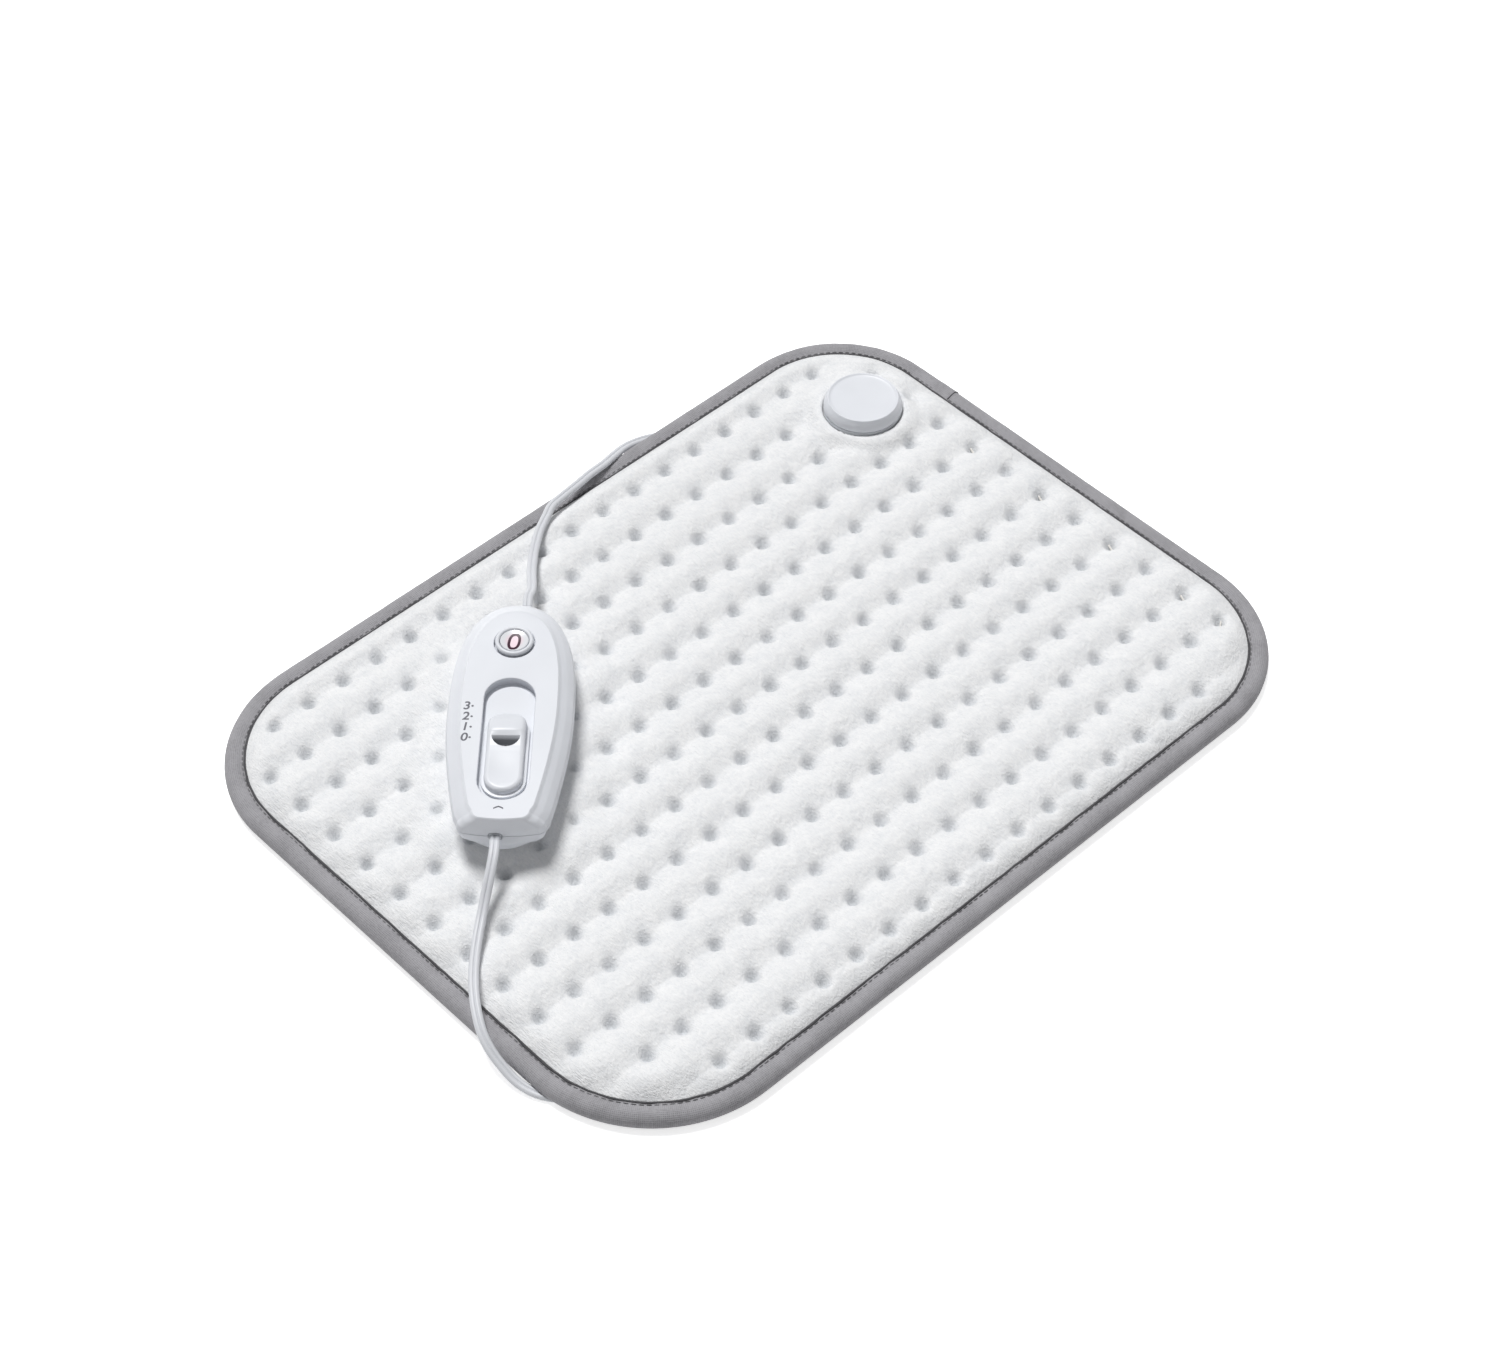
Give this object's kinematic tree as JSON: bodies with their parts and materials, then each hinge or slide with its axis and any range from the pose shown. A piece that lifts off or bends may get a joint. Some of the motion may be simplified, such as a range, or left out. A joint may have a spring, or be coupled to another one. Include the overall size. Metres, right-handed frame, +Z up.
{
  "type": "heating pad with slide controller",
  "caption": "Quilted heating pad with bound edge and corner connector; a boat-shaped controller with a level slider and lit display lies on it, its mains cord coiled beneath",
  "frame": {"origin": "centre of the pad's footprint, on the surface it lies on", "axes": "+X along the pad's long edge, towards the edge by the connector; +Y towards the long edge by the connector; +Z up"},
  "size_m": [0.4462, 0.3357, 0.0466],
  "materials": {
    "plush": "short plush, matte",
    "lining": "smooth woven lining, matte",
    "tape": "woven grey tape, matte",
    "fleece": "thin needled fleece",
    "wire": "soft insulated heating wire",
    "housing": "satin moulded plastic",
    "moulding": "fine matte moulded plastic",
    "lens": "milky clear plastic",
    "black": "dark moulded plastic",
    "board": "laminate with green solder mask",
    "glass_tube": "clear glass with metal end caps",
    "ceramic": "lacquered ceramic body",
    "brass": "plated brass",
    "steel": "zinc-plated steel",
    "cord": "smooth flexible sheath"
  },
  "bodies": {
    "root": {"front_cover": "plush", "back_cover": "lining", "edge_binding": "tape", "carrier_fleece": "fleece", "heating_wire": "wire", "thermal_cutout_1": "black", "thermal_cutout_2": "black", "connector_cap": "housing", "connector_collar": "moulding", "connector_base": "moulding", "coupling_plug": "moulding", "contact_pin_1": "brass", "contact_pin_2": "brass", "connector_screw_1": "steel", "connector_screw_2": "steel", "controller_top_shell": "housing", "controller_bottom_shell": "housing", "contact_track": "brass", "detent_rail": "moulding", "circuit_board": "board", "display_bezel": "housing", "display_lens": "lens", "light_module": "black", "fuse": "glass_tube", "capacitor": "black", "power_triac": "black", "dropper_resistor": "ceramic", "mains_gland": "moulding", "pad_gland": "moulding", "mains_lead_inner": "cord", "pad_lead_inner": "cord", "mains_cord_clamp": "moulding", "pad_cord_clamp": "moulding", "shell_screw_1": "steel", "shell_screw_2": "steel", "shell_screw_3": "steel", "shell_screw_4": "steel", "mains_cord": "cord", "mains_cord_coil": "cord", "mains_cord_tail": "cord", "pad_cord": "cord", "plug_body": "cord", "plug_pin_1": "brass", "plug_pin_2": "brass"},
    "slider": {"slider_cap": "housing", "slider_carriage": "moulding", "contact_wiper": "brass", "detent_spring": "steel"}
  },
  "joints": [
    {"name": "slider_slide", "type": "slide", "parent": "root", "child": "slider", "axis": [0.6984, 0.7157, 0], "range_m": [0, 0.019]}
  ]
}
